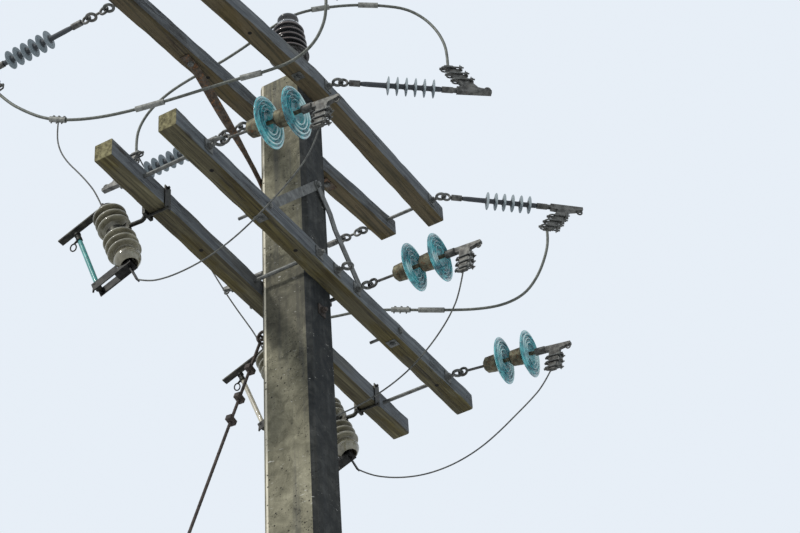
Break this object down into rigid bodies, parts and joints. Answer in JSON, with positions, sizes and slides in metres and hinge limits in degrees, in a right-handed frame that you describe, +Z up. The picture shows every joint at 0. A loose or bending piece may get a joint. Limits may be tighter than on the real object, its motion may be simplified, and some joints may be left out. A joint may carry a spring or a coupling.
{
  "type": "concrete utility pole",
  "caption": "Tapered concrete utility pole with paired timber crossarms, tension insulators, glass strings, drop-out fuse cutouts, jumpers and a stay.",
  "frame": {"origin": "centre of the pole's section at ground level", "axes": "+Z up the pole, X along the lower crossarms, -Y the side that the branch line leaves from"},
  "size_m": [4.3577, 2.2574, 10.4388],
  "materials": {
    "concrete": "weathered cast concrete",
    "timber": "weathered treated sawn timber",
    "galvanised": "dull galvanised, partly rusted",
    "aluminium_fitting": "cast, weathered",
    "polymer": "matt silicone sheds",
    "glass": "toughened blue green glass",
    "porcelain": "grey green glaze",
    "dark_glaze": "dark brown glaze",
    "black_rubber": "matt",
    "fuse_tube": "painted glass fibre tube",
    "conductor": "stranded, weathered",
    "stay_steel": "stranded, dark and weathered"
  },
  "bodies": {
    "structure": {"back_left_clamp": "aluminium_fitting", "back_left_insulator": "polymer", "back_middle_clamp": "aluminium_fitting", "back_middle_insulator": "polymer", "back_right_clamp": "aluminium_fitting", "back_right_insulator": "polymer", "bolt_spool": "black_rubber", "brace_bolts": "galvanised", "front_left_clamp": "aluminium_fitting", "front_left_insulator": "polymer", "front_middle_clamp": "aluminium_fitting", "front_middle_insulator": "polymer", "front_right_clamp": "aluminium_fitting", "front_right_insulator": "polymer", "jumper_left": "conductor", "jumper_middle": "conductor", "jumper_right": "conductor", "jumper_sleeves": "conductor", "left_bottom_lead": "conductor", "left_fuse_metalwork": "galvanised", "left_fuse_porcelain": "porcelain", "left_glass_discs": "glass", "left_glass_hardware": "aluminium_fitting", "left_top_lead": "conductor", "lower_arm_back": "timber", "lower_arm_bolts": "galvanised", "lower_arm_front": "timber", "lower_braces": "galvanised", "middle_bottom_lead": "conductor", "middle_fuse_metalwork": "galvanised", "middle_fuse_porcelain": "porcelain", "middle_glass_discs": "glass", "middle_glass_hardware": "aluminium_fitting", "middle_top_lead": "conductor", "pin_insulator": "dark_glaze", "pin_insulator_pin": "galvanised", "pole": "concrete", "right_bottom_lead": "conductor", "right_fuse_metalwork": "galvanised", "right_fuse_porcelain": "porcelain", "right_glass_discs": "glass", "right_glass_hardware": "aluminium_fitting", "right_top_lead": "conductor", "stay_anchor": "stay_steel", "stay_grips": "stay_steel", "stay_wire": "stay_steel", "upper_arm_back": "timber", "upper_arm_bolts": "galvanised", "upper_arm_front": "timber", "upper_braces": "galvanised"},
    "left_carrier": {"left_fuse_carrier": "fuse_tube"},
    "middle_carrier": {"middle_fuse_carrier": "fuse_tube"},
    "right_carrier": {"right_fuse_carrier": "fuse_tube"}
  },
  "joints": [
    {"name": "left_fuse_drop", "type": "hinge", "parent": "structure", "child": "left_carrier", "pos_m": [-0.92, 0.51474, 8.0875], "axis": [-1, 0, 0], "range_deg": [0, 150]},
    {"name": "middle_fuse_drop", "type": "hinge", "parent": "structure", "child": "middle_carrier", "pos_m": [0.47, 0.51474, 8.0875], "axis": [-1, 0, 0], "range_deg": [0, 150]},
    {"name": "right_fuse_drop", "type": "hinge", "parent": "structure", "child": "right_carrier", "pos_m": [1.01, 0.51474, 8.0875], "axis": [-1, 0, 0], "range_deg": [0, 150]}
  ]
}
